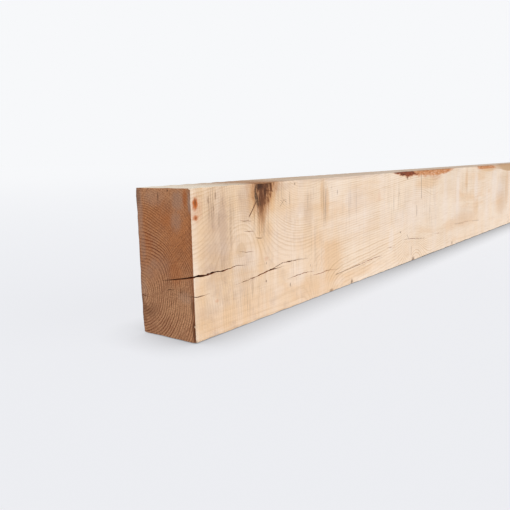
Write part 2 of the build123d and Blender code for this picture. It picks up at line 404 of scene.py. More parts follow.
class Maker:
    """Adds nodes to one tree, so that a pattern is written as a formula of fields."""

    def __init__(self, tree):
        self.tree = tree

    def feed(self, socket, value):
        if isinstance(value, Field):
            value = value.socket
        if isinstance(value, bpy.types.NodeSocket):
            self.tree.links.new(value, socket)
        else:
            socket.default_value = value

    def node(self, kind, inputs=(), **settings):
        node = self.tree.nodes.new(kind)
        for name, value in settings.items():
            setattr(node, name, value)
        for key, value in dict(inputs).items():
            self.feed(node.inputs[key], value)
        return node

    def field(self, node, output=0):
        return Field(self, node.outputs[output])

    def math(self, operation, *values):
        return self.field(self.node("ShaderNodeMath", enumerate(values), operation=operation))

    def vector(self, operation, *values, output=0):
        node = self.node("ShaderNodeVectorMath", enumerate(values), operation=operation)
        return self.field(node, output)

    def split(self, vector):
        node = self.node("ShaderNodeSeparateXYZ", {0: vector})
        return [self.field(node, axis) for axis in range(3)]

    def join(self, x, y, z):
        return self.field(self.node("ShaderNodeCombineXYZ", {0: x, 1: y, 2: z}))

    def between(self, value, low, high, smooth=True, to=(0.0, 1.0)):
        """0 below low, 1 above high, or the two ends of the span it is sent to."""
        node = self.node(
            "ShaderNodeMapRange", {0: value, 1: low, 2: high, 3: to[0], 4: to[1]},
            interpolation_type="SMOOTHSTEP" if smooth else "LINEAR")
        return self.field(node)

    def falling(self, value, low, high):
        """1 below low and 0 above high."""
        return self.between(value, low, high, to=(1.0, 0.0))

    def noise(self, vector, scale, detail=2.0, roughness=0.5, output="Fac"):
        node = self.node("ShaderNodeTexNoise", {
            "Vector": vector, "Scale": scale, "Detail": detail, "Roughness": roughness})
        return self.field(node, output)

    def stretch(self, vector, x, y, z):
        return self.vector("MULTIPLY", vector, (x, y, z))

    def scaled(self, vector, by):
        node = self.node("ShaderNodeVectorMath", {0: vector, "Scale": by}, operation="SCALE")
        return self.field(node)

    def apart(self, place, at, half):
        """How far a flat place is from a spot, counted in the spot's own half-sizes in mm."""
        turned = self.node("ShaderNodeVectorMath", {
            0: place,
            1: (1 / (half[0] * MM), 1 / (half[1] * MM), 0.0),
            2: (-at[0] / half[0], -at[1] / half[1], 0.0)}, operation="MULTIPLY_ADD")
        return self.vector("LENGTH", self.field(turned), output=1)

    def curve(self, value, points):
        """A smooth curve through points that lie in 0 to 1 each way."""
        node = self.node("ShaderNodeFloatCurve", {"Value": value})
        line = node.mapping.curves[0]
        for place, point in zip(line.points, (points[0], points[-1])):
            place.location = point
        for point in points[1:-1]:
            line.points.new(*point)
        node.mapping.update()
        return self.field(node)

    def mix(self, factor, first, second, blend="MIX"):
        node = self.node("ShaderNodeMix", data_type="RGBA", blend_type=blend)
        for key, value in ((0, factor), (6, first), (7, second)):
            if key and not isinstance(value, Field):
                value = (*value, 1.0)
            self.feed(node.inputs[key], value)
        return self.field(node, 2)

    def layers(self, paint, coats):
        """Lays coats of a colour over the paint, each as thick as its factor says."""
        for factor, coat in coats:
            paint = self.mix(factor, paint, coat)
        return paint

    def swelling(self, place, spots):
        """How far the rings bulge at a flat place, from all the spots together."""
        bulges = []
        for at, up, half_length, half_height, bulge in spots:
            away = self.apart(place, (at, up), (half_length, half_height))
            bulges.append(self.math("EXPONENT", away * away * -1.0) * (bulge * MM))
        return sum(bulges[1:], bulges[0])


def wane_radius(make, x):
    """Radius of the log's surface about its pith at a place along the timber."""
    start, end = WANE_BITES[0][0], WANE_BITES[-1][0]
    points = [((at - start) / (end - start), 0.5 + bite / 2 / BITE_RANGE) for at, bite in WANE_BITES]
    share = (x - (NEAR + start * MM)) / ((end - start) * MM)
    bite = (make.curve(share, points) - 0.5) * (2 * BITE_RANGE * MM)
    return ARRIS_FROM_PITH - bite


def from_the_pith(make, y, z):
    """Offsets from the pith across and up, and the distance from it."""
    across = y - (FRONT + PITH_INSET)
    up = z - PITH_HEIGHT
    return across, up, make.math("SQRT", across * across + up * up)


def knot_nearness(make, vector):
    """Falls from 1 in the heart of the spike knot to 0 at its rim and below 0 outside it."""
    x, y, z = make.split(vector)
    across, up, far = from_the_pith(make, y, z)
    ray_y = -PITH_INSET / ARRIS_FROM_PITH
    ray_z = (SECTION_HEIGHT - PITH_HEIGHT) / ARRIS_FROM_PITH
    aside = across * ray_z - up * ray_y
    size = make.between(far, 20 * MM, 90 * MM, smooth=False, to=(0.2, 1.0))
    below = 1.0 + aside / (size * KNOT_RUN_DOWN)
    behind = 1.0 - aside / (size * KNOT_RUN_BACK)
    share = make.math("MAXIMUM", make.math("MINIMUM", below, behind), 0.0)
    half = (make.math("POWER", share, 1.9) * KNOT_HALF_WIDTH + KNOT_POINT_HALF_WIDTH) * size
    centre = NEAR + KNOT_TIP + share * KNOT_LEAN
    ragged = make.noise(make.stretch(vector, 420, 420, 90), 1.0, 3) - 0.5
    apart = make.math("ABSOLUTE", x - centre) / half + ragged * 0.9
    return 1.0 - apart, share


def pattern(name, outputs):
    """A shader group that takes a place on the timber and gives values for it."""
    tree = bpy.data.node_groups.new(name, "ShaderNodeTree")
    tree.interface.new_socket("Vector", in_out="INPUT", socket_type="NodeSocketVector")
    for output in outputs:
        tree.interface.new_socket(output, in_out="OUTPUT", socket_type="NodeSocketFloat")
    make = Maker(tree)
    return tree, make, make.field(make.node("NodeGroupInput"))


def close_pattern(make, fields):
    ending = make.node("NodeGroupOutput")
    for name, field in fields.items():
        make.feed(ending.inputs[name], field)


def growth_rings(spacing):
    """Year rings about the pith, with the swells that show as arcs on the sawn faces."""
    tree, make, place = pattern("Growth rings", ("Latewood", "Year", "Crossing"))
    x, y, z = make.split(place)
    along = (x - NEAR) / MM
    start, low_start, low_end, end = CROOK
    crook = make.between(along, start, low_start) * make.falling(along, low_end, end)
    drop = crook * CROOK_DROP
    across = y - (FRONT + RING_INSET)
    up = z - PITH_HEIGHT + drop
    far = make.math("SQRT", across * across + up * up)
    hinge = CROOK_HINGE - PITH_HEIGHT + drop
    pull = make.math("SQRT", hinge * hinge + RING_INSET ** 2)
    rise = crook * (x - (NEAR + CROOK_MIDDLE)) * CROOK_RISE
    wander = make.noise(make.stretch(place, 2.6, 13, 13), 1.0, 2) - 0.5
    waver = make.noise(make.stretch(place, 16, 65, 65), 1.0, 3) - 0.5
    radius = far - pull - rise + wander * (8 * MM) + waver * (2.4 * MM) + RING_START
    radius = radius + make.swelling(make.join(x - NEAR, z, 0.0), GRAIN_SWELLS)
    near_end = make.falling(along, 10, 90)
    radius = radius + make.swelling(make.join(y - FRONT, z, 0.0), RING_WAVES) * near_end
    turns = radius / spacing
    share = make.math("FRACT", turns)
    late = make.between(share, 0.42, 0.9) * make.falling(share, 0.93, 1.0)
    year = make.field(make.node("ShaderNodeTexWhiteNoise", {
        "W": make.math("FLOOR", turns)}, noise_dimensions="1D"))
    crossing = make.between(make.math("ABSOLUTE", up) / far, 0.1, 0.55)
    close_pattern(make, {"Latewood": late, "Year": year, "Crossing": crossing})
    return tree


def sawn_surface(sizes):
    """Fine relief of the long faces: fibres, torn grain and the saw's marks."""
    tree, make, place = pattern("Sawn surface", ("Height", "Fibres", "Tooth marks"))
    x, y, z = make.split(place)
    fibres = make.noise(make.stretch(place, 24, 620, 620), 1.0, 3, 0.6)
    fuzz = make.noise(make.stretch(place, 420, 700, 700), 1.0, 2, 0.6)
    slant = make.noise(make.stretch(place, 7, 9, 9), 1.0, 2)
    phase = x / sizes.tooth_pitch + slant * 5.0 + z * 22.0
    teeth = make.math("SINE", phase * math.tau) * 0.5 + 0.5
    where = make.between(make.noise(make.stretch(place, 9, 16, 16), 1.0, 3), 0.46, 0.7)
    marks = teeth * where
    height = fibres * 0.5 + fuzz * 0.35 + marks * 0.4
    close_pattern(make, {"Height": height, "Fibres": fibres, "Tooth marks": marks})
    return tree


def weathering():
    """Uneven tone that lies over all of the wood."""
    tree, make, place = pattern("Weathering", ("Blotches", "Warmth", "Dirt", "Bands"))
    blotches = make.noise(make.stretch(place, 7, 16, 16), 1.0, 4, 0.55)
    warmth = make.noise(make.stretch(place, 5, 22, 30), 1.0, 3, 0.55)
    dirt = make.noise(make.stretch(place, 55, 85, 40), 1.0, 4, 0.65)
    bands = make.noise(make.stretch(place, 40, 6, 7), 1.0, 4, 0.6)
    close_pattern(make, {
        "Blotches": make.between(blotches, 0.36, 0.66),
        "Warmth": make.between(warmth, 0.5, 0.74),
        "Dirt": make.between(dirt, 0.5, 0.75),
        "Bands": make.between(bands, 0.42, 0.7)})
    return tree


def stained(name, marks, flat, strokes=()):
    """Marks at given places; flat turns a place on the timber into distance and height."""
    tree, make, place = pattern(name, tuple(marks))
    flat_place, shown = flat(make, place)
    rough = make.noise(make.stretch(place, 300, 300, 220), 1.0, 3, 0.6) - 0.5
    uneven = rough * 0.9
    shaky = rough * (0.6 * MM)
    totals = {}
    for kind, spots in marks.items():
        total = None
        for at, up, half_length, half_height, strength in spots:
            far = make.apart(flat_place, (at, up), (half_length, half_height)) + uneven
            spot = make.between(far, 0.35, 1.15, to=(strength, 0.0))
            total = spot if total is None else make.math("MAXIMUM", total, spot)
        totals[kind] = total
    for x0, z0, x1, z1, width, strength in strokes:
        run = Vector(((x1 - x0) * MM, (z1 - z0) * MM, 0.0))
        offset = make.vector("SUBTRACT", flat_place, (x0 * MM, z0 * MM, 0.0))
        share = make.vector("DOT_PRODUCT", offset, tuple(run / run.length_squared), output=1)
        share = make.math("MINIMUM", make.math("MAXIMUM", share, 0.0), 1.0)
        foot = make.vector("MULTIPLY", tuple(run), make.join(share, share, 0.0))
        far = make.vector("DISTANCE", offset, foot, output=1) + shaky
        stroke = make.between(far, 0.3 * width * MM, 1.1 * width * MM, to=(strength, 0.0))
        totals["Dark"] = make.math("MAXIMUM", totals["Dark"], stroke)
    close_pattern(make, {kind: total * shown for kind, total in totals.items()})
    return tree


def on_front_face(make, place):
    x, y, z = make.split(place)
    return make.join(x - NEAR, z, 0.0), make.between(y, FRONT + 3 * MM, FRONT + 7 * MM, to=(1.0, 0.0))


def on_checked_end(make, place):
    x, y, z = make.split(place)
    return make.join(y - FRONT, z, 0.0), make.between(x, NEAR + 4 * MM, NEAR + 8 * MM, to=(1.0, 0.0))


def wane_and_knot():
    """Where bark, bare wane and the spike knot show."""
    tree, make, place = pattern("Wane and knot", ("Wane", "Bark", "Bast", "Knot", "Knot heart"))
    x, y, z = make.split(place)
    along = (x - NEAR) / MM
    across, up, far = from_the_pith(make, y, z)
    ragged = make.noise(make.stretch(place, 60, 200, 200), 1.0, 4, 0.65)
    inside = wane_radius(make, x) - far
    wane = make.falling(inside + ragged * (1.6 * MM), 1.9 * MM, 2.8 * MM)
    frayed = inside + (ragged - 0.5) * (9 * MM)
    share = (x - NEAR) / STOCK_LENGTH
    patches = make.noise(make.stretch(place, 60, 130, 130), 1.0, 4, 0.65)
    bark = make.between(patches + make.curve(share, BARK_COVER) * 0.9, 0.84, 1.06)
    low = make.between(along, *SECOND_WANE) * make.falling(z, TOP - 8.5 * MM, TOP - 5.5 * MM)
    bast = make.falling(frayed, 1.0 * MM, 5 * MM) * (1.0 - low) * make.curve(share, BAST_COVER)
    nearness, depth = knot_nearness(make, place)
    streaks = make.noise(make.stretch(place, 330, 260, 80), 1.0, 4, 0.7) - 0.5
    halo = make.between(nearness + streaks * 2.2, -1.1, 0.5) * make.between(depth, 0.16, 0.72)
    heart = make.between(nearness + streaks * 3.0, 0.0, 0.7) * make.between(depth, 0.38, 0.78)
    close_pattern(make, {
        "Wane": wane * make.between(along, *BARE_WANE, to=(0.1, 1.0)),
        "Bark": bark * make.falling(frayed, 1.2 * MM, 3 * MM),
        "Bast": bast, "Knot": halo, "Knot heart": heart})
    return tree


def opened(material_name, roughness):
    """A new material, its maker, its shader and the place that its patterns read."""
    material = bpy.data.materials.new(material_name)
    material.use_nodes = True
    make = Maker(material.node_tree)
    shader = material.node_tree.nodes["Principled BSDF"]
    shader.inputs["Roughness"].default_value = roughness
    shader.inputs["Specular IOR Level"].default_value = 0.25
    place = make.field(make.node("ShaderNodeTexCoord"), "Object")
    return material, make, shader, place


def read_pattern(make, tree, place):
    node = make.node("ShaderNodeGroup", node_tree=tree)
    make.feed(node.inputs["Vector"], place)
    return {socket.name: Field(make, socket) for socket in node.outputs}


def read_patterns(make, groups, place, *names):
    return [read_pattern(make, groups[name], place) for name in names]


def bumped(make, shader, height, distance, strength=1.0):
    bump = make.node("ShaderNodeBump", {"Height": height, "Distance": distance, "Strength": strength})
    make.feed(shader.inputs["Normal"], make.field(bump))


def side_grain(name, colours, groups):
    """Sawn long faces, with wane, bark, the spike knot and every mark."""
    material, make, shader, place = opened(name, 0.78)
    rings, saw, tones, marks, log = read_patterns(
        make, groups, place, "rings", "saw", "tones", "marks", "log")
    x, y, z = make.split(place)
    along = (x - NEAR) / MM
    handled = make.falling(along, *HANDLED_FADE) * make.between(along, *CUT_FADE, to=(0.1, 1.0)) * 0.8
    faint = make.between(tones["Blotches"] - tones["Bands"] * 0.6, 0.1, 0.9, to=(0.45, 1.0))
    late = rings["Latewood"] * (rings["Year"] * 0.45 + 0.24) * (faint + handled * 0.35)
    late = late * (rings["Crossing"] * 0.75 + 0.25) * (1.0 - marks["Pale"] * 0.7)
    late = late * make.between(along, *FAINT_RINGS, to=(1.0, 0.5))
    hatch = make.between(make.noise(make.stretch(place, 560, 14, 16), 1.0, 2, 0.6), 0.5, 0.66)
    flakes = make.noise(make.stretch(place, 110, 260, 260), 1.0, 4, 0.7)
    charred = marks["Char"] * make.between(flakes, 0.36, 0.58, to=(0.7, 1.0))
    facing = make.field(make.node("ShaderNodeNewGeometry"), "Normal")
    upward = make.between(make.split(facing)[2], 0.75, 0.95)
    dust = (tones["Dirt"] * 1.5 + 1.0) * make.between(along, *DUSTY_TOP) * 0.16
    middle, inner, outer = KNOT_CLOUD
    cloud = make.falling(make.math("ABSOLUTE", along - middle), inner, outer) * 0.55
    cleaner = make.falling(along, *CLEAN_TOP) * (1.0 - tones["Dirt"] * 0.5) * 0.95
    paint = make.layers(colours.cream, (
        (tones["Blotches"] * 0.3 + handled, colours.tan),
        (tones["Bands"] * 0.5, colours.pale),
        (tones["Warmth"] * 0.4, colours.warm),
        # Pale marks, with the painted highlight along the checked end's front arris
        (marks["Pale"], colours.pale),
        (marks["Warm"], colours.warm),
        (late, colours.latewood),
        (make.between(saw["Fibres"], 0.45, 0.75) * 0.26, colours.latewood),
        (saw["Tooth marks"] * 0.2, colours.latewood),
        (tones["Dirt"] * (handled * 0.35 + 0.07), colours.grey),
        (marks["Smudge"], colours.grey),
        (hatch * (marks["Hatch"] * 0.5 + 0.05), colours.mark),
        (marks["Resin"], colours.resin),
        (log["Wane"], colours.bare_wane),
        (log["Bast"] * 0.9, colours.bast),
        (log["Bast"] * make.between(flakes, 0.44, 0.62) * 0.5, colours.bark),
        (log["Bast"] * make.falling(flakes, 0.32, 0.46) * 0.5, colours.pale),
        (log["Bark"], colours.bark),
        (log["Bark"] * make.between(flakes, 0.46, 0.62) * 0.7, colours.char),
        (log["Knot"] * 0.8, colours.knot_brown),
        (log["Knot heart"] * 0.88, colours.knot_core),
        (upward * cloud, colours.knot_brown),
        (upward * cleaner, colours.clean_top),
        (upward * dust, colours.mark)))
    # painted shade: the far part of the timber is multiplied a little darker
    paint = make.mix(make.between(along, *FAR_SHADE_FADE), paint, FAR_SHADE_TONE, "MULTIPLY")
    paint = make.layers(paint, ((marks["Dark"], colours.mark), (charred, colours.char)))
    make.feed(shader.inputs["Base Color"], paint)
    height = saw["Height"] + rings["Latewood"] * 0.25 + log["Bark"] * tones["Dirt"] * 1.6
    bumped(make, shader, height - marks["Dark"] * 0.25 - marks["Char"] * 0.6, 0.0005, 0.8)
    return material


def end_grain(name, colours, groups):
    """Cross-cut ends: rings about the pith, rays, and the arcs of the saw."""
    material, make, shader, place = opened(name, 0.85)
    rings, tones, marks = read_patterns(make, groups, place, "rings", "tones", "end marks")
    x, y, z = make.split(place)
    across, up, far = from_the_pith(make, y, z)
    blotches = make.noise(make.stretch(place, 30, 30, 22), 1.0, 4, 0.6)
    sets_in, ends = END_MIDDLE
    middle = make.between(z / MM, *sets_in) * make.between(z / MM, *ends, to=(1.0, 0.5))
    angle = make.math("ARCTAN2", up, across)
    ray = make.noise(make.join(angle * 46.0, far * 20.0, 0.0), 1.0, 2, 0.6)
    late = rings["Latewood"] * (rings["Year"] * 0.5 + 0.55)
    patchy = make.between(make.noise(place, 42, 3), 0.4, 0.58, to=(0.45, 1.0))
    streak = make.noise(
        make.stretch(make.join(x, y - z * 0.8, z + y * 0.8), 1, 14, 380), 1.0, 3, 0.6)
    grit = make.noise(place, 900, 2, 0.7)
    rim = make.falling(y + grit * (4 * MM), FRONT + 2 * MM, FRONT + 8 * MM)
    rim = rim * make.between(z, 40 * MM, 62 * MM, to=(0.75, 0.35))
    dull = make.between(y - grit * (2 * MM), BACK - 4.5 * MM, BACK - 1.5 * MM) * 0.45
    paint = make.layers(colours.end_light, (
        (middle * 0.9, colours.end_warm),
        (make.between(blotches, 0.4, 0.7) * 0.8, colours.end_dark),
        (make.between(ray, 0.45, 0.75) * 0.35, colours.end_dark),
        (patchy * (1.0 - rings["Latewood"]) * 0.35, colours.end_light),
        (late * patchy * (1.0 - marks["Plain"]), colours.end_ring),
        (make.between(streak, 0.5, 0.8) * 0.4, colours.end_ring),
        (make.between(grit, 0.38, 0.66) * 0.5, colours.end_ring),
        (rim, colours.end_ring),
        (dull, colours.end_dull),
        (marks["Smudge"] * 0.75, colours.grey),
        (marks["Resin"], colours.resin),
        (marks["Dark"], colours.mark)))
    make.feed(shader.inputs["Base Color"], paint)
    height = rings["Latewood"] * 0.5 + streak * 0.9 + tones["Dirt"] * 0.4
    bumped(make, shader, height, 0.0005)
    return material


def check_walls(name, colours, groups):
    """Split wood inside the checks."""
    material, make, shader, place = opened(name, 0.9)
    saw = read_pattern(make, groups["saw"], place)
    fibres = make.between(saw["Fibres"], 0.3, 0.7)
    make.feed(shader.inputs["Base Color"], make.mix(fibres * 0.5, colours.check, colours.mark))
    bumped(make, shader, saw["Fibres"], 0.0006)
    return material


def spaced_block(make, given):
    """A block with its ends marked, and where its points go: closer together by the arrises."""
    long, wide, high = make.split(given["Size"])
    block = make.node("GeometryNodeMeshCube", {
        "Size": (1.0, 1.0, 1.0), "Vertices X": given["Stations"],
        "Vertices Y": given["Points Across"], "Vertices Z": given["Points Up"]})
    normal = make.field(make.node("GeometryNodeInputNormal"))
    is_end = make.math("GREATER_THAN", make.math("ABSOLUTE", make.split(normal)[0]), 0.5)
    marked = make.node("GeometryNodeStoreNamedAttribute", {
        "Geometry": make.field(block), "Name": "end_face", "Value": is_end},
        data_type="FLOAT", domain="FACE")
    px, py, pz = make.split(make.field(make.node("GeometryNodeInputPosition")))
    steps = [
        make.between(px + 0.5, start, end, smooth=False, to=(0.0, run * MM))
        for start, end, run in STATION_RUNS]
    along = sum(steps[1:], steps[0])

    def crowded(place):
        return place + make.math("SINE", place * math.tau) * (ARRIS_CROWDING / math.tau)

    return marked, make.join(along - long * 0.5, crowded(py) * wide, (crowded(pz) + 0.5) * high)


def rounded_arrises(make, given, placed):
    """Draws each point on to a ball that rolls inside the block, and tells which way is outward."""
    size = given["Size"]
    wear = make.noise(make.stretch(placed, 30, 60, 60), 1.0, 4, 0.6)
    radius = given["Arris Radius"] * make.between(wear, 0.3, 0.8, to=(0.45, 2.4))
    middle = make.join(0.0, 0.0, make.split(size)[2] * 0.5)
    room = make.vector("SUBTRACT", make.scaled(size, 0.5), make.join(radius, radius, radius))
    offset = make.vector("SUBTRACT", placed, middle)
    inner = make.vector(
        "MAXIMUM", make.vector("MINIMUM", offset, room), make.scaled(room, -1.0))
    outward = make.vector("NORMALIZE", make.vector("SUBTRACT", offset, inner))
    rounded = make.vector("ADD", make.vector("ADD", inner, make.scaled(outward, radius)), middle)
    return rounded, outward


def sawn_relief(make, given, placed, outward):
    """How deep waves of the saw's feed, torn fibres and the knot's recess cut in."""
    x, y, z = make.split(placed)
    wander = make.noise(make.stretch(placed, 9, 14, 14), 1.0, 2)
    phase = x / given["Feed Mark Pitch"] + wander * 2.0 + z * 5.0
    wave = make.math("SINE", phase * math.tau) * 0.5 + 0.5
    patch = make.between(make.noise(make.stretch(placed, 4.5, 9, 9), 1.0, 2), 0.36, 0.68)
    torn = make.noise(make.stretch(placed, 90, 360, 360), 1.0, 3)
    swell = make.noise(make.stretch(placed, 3.2, 11, 11), 1.0, 2)
    nearness, share = knot_nearness(make, placed)
    sunken = make.between(nearness, 0.0, 0.7) * make.between(share, 0.35, 0.8)
    relief = (wave * patch + torn) * given["Feed Mark Depth"] + swell * FACE_SWELL
    relief = relief + sunken * given["Knot Recess"]
    ripple = make.noise(make.stretch(placed, 10, 90, 520), 1.0, 3)
    endness = make.math("ABSOLUTE", make.split(outward)[0])
    return relief + (ripple * END_RIPPLE - relief) * endness


def drawn_to_the_log(make, placed, surface):
    """The wane: what lies outside the log is drawn in to its ragged surface."""
    x, y, z = make.split(surface)
    across, up, far = from_the_pith(make, y, z)
    bark = make.noise(make.stretch(placed, 45, 130, 130), 1.0, 4, 0.6)
    ragged = make.noise(make.stretch(placed, 80, 60, 60), 1.0, 3, 0.65) * (1.2 * MM)
    log = wane_radius(make, x) + 0.8 * MM - bark * (1.0 * MM) - ragged
    drawn = make.math("MINIMUM", log / far, 1.0)
    return x, across * drawn + (FRONT + PITH_INSET), up * drawn + PITH_HEIGHT


def bruised(make, placed, x, y, z):
    """Presses the lower back arris in. The bruise runs out along the timber."""
    width, height, run = (part * MM for part in BRUISE)
    fade = make.between(x, NEAR, NEAR + run, smooth=False, to=(1.0, BRUISE_RUN_OUT))
    slope_y = 1.0 / (fade * width)
    slope_z = 1.0 / (fade * height)
    worn = make.noise(make.stretch(placed, 30, 90, 90), 1.0, 4, 0.6)
    short = make.math("MAXIMUM", worn * 0.25 + 0.9 - (BACK - y) * slope_y - z * slope_z, 0.0)
    step = short / (slope_y * slope_y + slope_z * slope_z)
    return make.join(x, y - step * slope_y, z + step * slope_z)


def sawn_plank_tree(sizes):
    """Geometry nodes of the whole timber before its checks are cut."""
    tree = bpy.data.node_groups.new("Sawn timber", "GeometryNodeTree")
    make = Maker(tree)
    tree.interface.new_socket("Geometry", in_out="OUTPUT", socket_type="NodeSocketGeometry")
    sockets = {}
    for name, kind, value in (
        ("Size", "NodeSocketVector", (STOCK_LENGTH, SECTION_WIDTH, SECTION_HEIGHT)),
        ("Stations", "NodeSocketInt", sizes.stations),
        ("Points Across", "NodeSocketInt", 24),
        ("Points Up", "NodeSocketInt", 42),
        ("Arris Radius", "NodeSocketFloat", sizes.arris_radius),
        ("Feed Mark Pitch", "NodeSocketFloat", sizes.feed_pitch),
        ("Feed Mark Depth", "NodeSocketFloat", sizes.feed_depth),
        ("Knot Recess", "NodeSocketFloat", sizes.knot_recess),
        ("Side Grain", "NodeSocketMaterial", None),
        ("End Grain", "NodeSocketMaterial", None),
    ):
        socket = tree.interface.new_socket(name, in_out="INPUT", socket_type=kind)
        if value is not None:
            socket.default_value = value
        sockets[name] = socket.identifier
    source = make.node("NodeGroupInput")
    given = {socket.name: Field(make, socket) for socket in source.outputs if socket.name}

    marked, placed = spaced_block(make, given)
    rounded, outward = rounded_arrises(make, given, placed)
    surface = make.vector(
        "SUBTRACT", rounded, make.scaled(outward, sawn_relief(make, given, placed, outward)))
    final = bruised(make, placed, *drawn_to_the_log(make, placed, surface))
    moved = make.node("GeometryNodeSetPosition", {"Geometry": make.field(marked), "Position": final})
    real = make.node("GeometryNodeRealizeInstances", {"Geometry": make.field(moved)})
    sides = make.node("GeometryNodeSetMaterial", {
        "Geometry": make.field(real), "Material": given["Side Grain"]})
    read = make.node("GeometryNodeInputNamedAttribute", {"Name": "end_face"}, data_type="FLOAT")
    ends = make.node("GeometryNodeSetMaterial", {
        "Geometry": make.field(sides), "Material": given["End Grain"],
        "Selection": make.math("GREATER_THAN", make.field(read), 0.5)})
    make.node("NodeGroupOutput", {0: make.field(ends)})
    return tree, sockets


def frozen(obj):
    """Turns the object into the plain mesh that its modifiers make."""
    graph = bpy.context.evaluated_depsgraph_get()
    mesh = bpy.data.meshes.new_from_object(obj.evaluated_get(graph), depsgraph=graph)
    mesh.name = obj.name
    obj.modifiers.clear()
    obj.data = mesh


def on_front(along, height, inset):
    return (NEAR + along * MM, FRONT + inset * MM, height * MM)


def on_end(across, height, inset):
    return (NEAR + inset * MM, FRONT + across * MM, height * MM)


def on_end_arris(height, along, inset):
    return (NEAR + along * MM, FRONT + inset * MM, height * MM)


class SheetStrip:
    def __init__(self, left, right, bottom):
        self.left = left
        self.right = right
        self.x = left
        self.y = bottom
        self.row = 0

    def take(self, width, height):
        if self.x + width > self.right:
            self.x = self.left
            self.y += self.row + SHEET_GAP
            self.row = 0
        place = (self.x, self.y)
        self.x += width + SHEET_GAP
        self.row = max(self.row, height)
        return place


def check_form(bm, uv, strip, depth, reach, line, place, chance):
    """One drying check as a closed cutting form: its mouth follows the line and its root is shorter."""
    opens_at_end = line[0][2] > 0
    deepest = line[0][0] if opens_at_end else line[len(line) // 2][0]
    points = []
    for (x0, z0, gap0), (x1, z1, gap1) in zip(line, line[1:]):
        steps = max(2, round(abs(x1 - x0) / CHECK_STEP))
        for step in range(steps):
            share = step / steps
            points.append([x0 + (x1 - x0) * share, z0 + (z1 - z0) * share, gap0 + (gap1 - gap0) * share])
    points.append(list(line[-1]))
    for point in points[1:-1]:
        point[1] += chance.uniform(-1, 1) * CHECK_JITTER
        point[2] *= chance.uniform(0.5, 1.35)
    shares = (-MOUTH_CLEARANCE / depth, 0.0, 0.22, 0.6, 1.0)
    upper, lower = [], []
    for share in shares:
        run = 1 - (1 - reach) * share
        above, below = [], []
        for at, height, gap in points:
            along = deepest + (at - deepest) * run
            tilt = (CHECK_AIM_HEIGHT - height) * depth * share / (PITH_INSET / MM)
            wobble = chance.uniform(-1, 1) * CHECK_JITTER * 0.8 if 0 < share < 1 else 0
            width = max(gap * max(1 - share, 0) ** 0.5, ROOT_OPENING) if gap else TIP_OPENING
            middle = height + tilt + wobble
            above.append(bm.verts.new(place(along, middle + width / 2, depth * share)))
            below.append(bm.verts.new(place(along, middle - width / 2, depth * share)))
        upper.append(above)
        lower.append(below)
    left = min(point[0] for point in points)
    wide = max(point[0] for point in points) - left
    for wall in (upper, lower):
        corner_x, corner_y = strip.take(wide, depth + MOUTH_CLEARANCE)
        for j in range(len(shares) - 1):
            for i in range(len(points) - 1):
                corners = ((j, i), (j, i + 1), (j + 1, i + 1), (j + 1, i))
                face = bm.faces.new([wall[row][column] for row, column in corners])
                for loop, (row, column) in zip(face.loops, corners):
                    loop[uv].uv = (
                        (corner_x + points[column][0] - left) / SHEET_SIDE,
                        (corner_y + depth * shares[row] + MOUTH_CLEARANCE) / SHEET_SIDE)
    for j in range(len(shares) - 1):
        for i in (0, -1):
            bm.faces.new((upper[j][i], upper[j + 1][i], lower[j + 1][i], lower[j][i]))
    for j in (0, -1):
        bm.faces.new(upper[j] + lower[j][::-1])


def chip_form(bm, centre, edge, run, rise, inset, place, chance):
    """A chip out of an arris as a closed cutting form, widest in its middle."""
    rings = []
    for step, share in enumerate(CHIP_SHARES):
        at = centre + run * (step / (len(CHIP_SHARES) - 1) - 0.5)
        share *= chance.uniform(0.85, 1.15)
        away = edge - 1 if rise > 0 else edge + 1
        rings.append([bm.verts.new(place(at, up, into)) for up, into in (
            (away, -1), (away, inset * share), (edge + rise * share * 0.5, inset * share * 0.45),
            (edge + rise * share, -1))])
    for first, second in zip(rings, rings[1:]):
        for i in range(4):
            after = (i + 1) % 4
            face = bm.faces.new((first[i], first[after], second[after], second[i]))
            face.material_index = 1
    for ring in (rings[0], rings[-1]):
        bm.faces.new(ring).material_index = 1


def all_cuts(walls, side):
    """All the cutting forms of the drying checks and the chips as one mesh."""
    chance = random.Random(7)
    bm = bmesh.new()
    uv = bm.loops.layers.uv.new(BAKE_MAP)
    strip = SheetStrip(*CHECK_STRIP)
    for depth, reach, line in FACE_CHECKS:
        check_form(bm, uv, strip, depth, reach, line, on_front, chance)
    for depth, reach, line in END_CHECKS:
        check_form(bm, uv, strip, depth, reach, line, on_end, chance)
    for chip in CHIPS:
        chip_form(bm, *chip, on_front, chance)
    for height, run, reach, inset in END_CHIPS:
        chip_form(bm, height, 0, run, reach, inset, on_end_arris, chance)
    bmesh.ops.recalc_face_normals(bm, faces=bm.faces)
    mesh = bpy.data.meshes.new("check_cuts")
    bm.to_mesh(mesh)
    bm.free()
    mesh.materials.append(walls)
    mesh.materials.append(side)
    return mesh


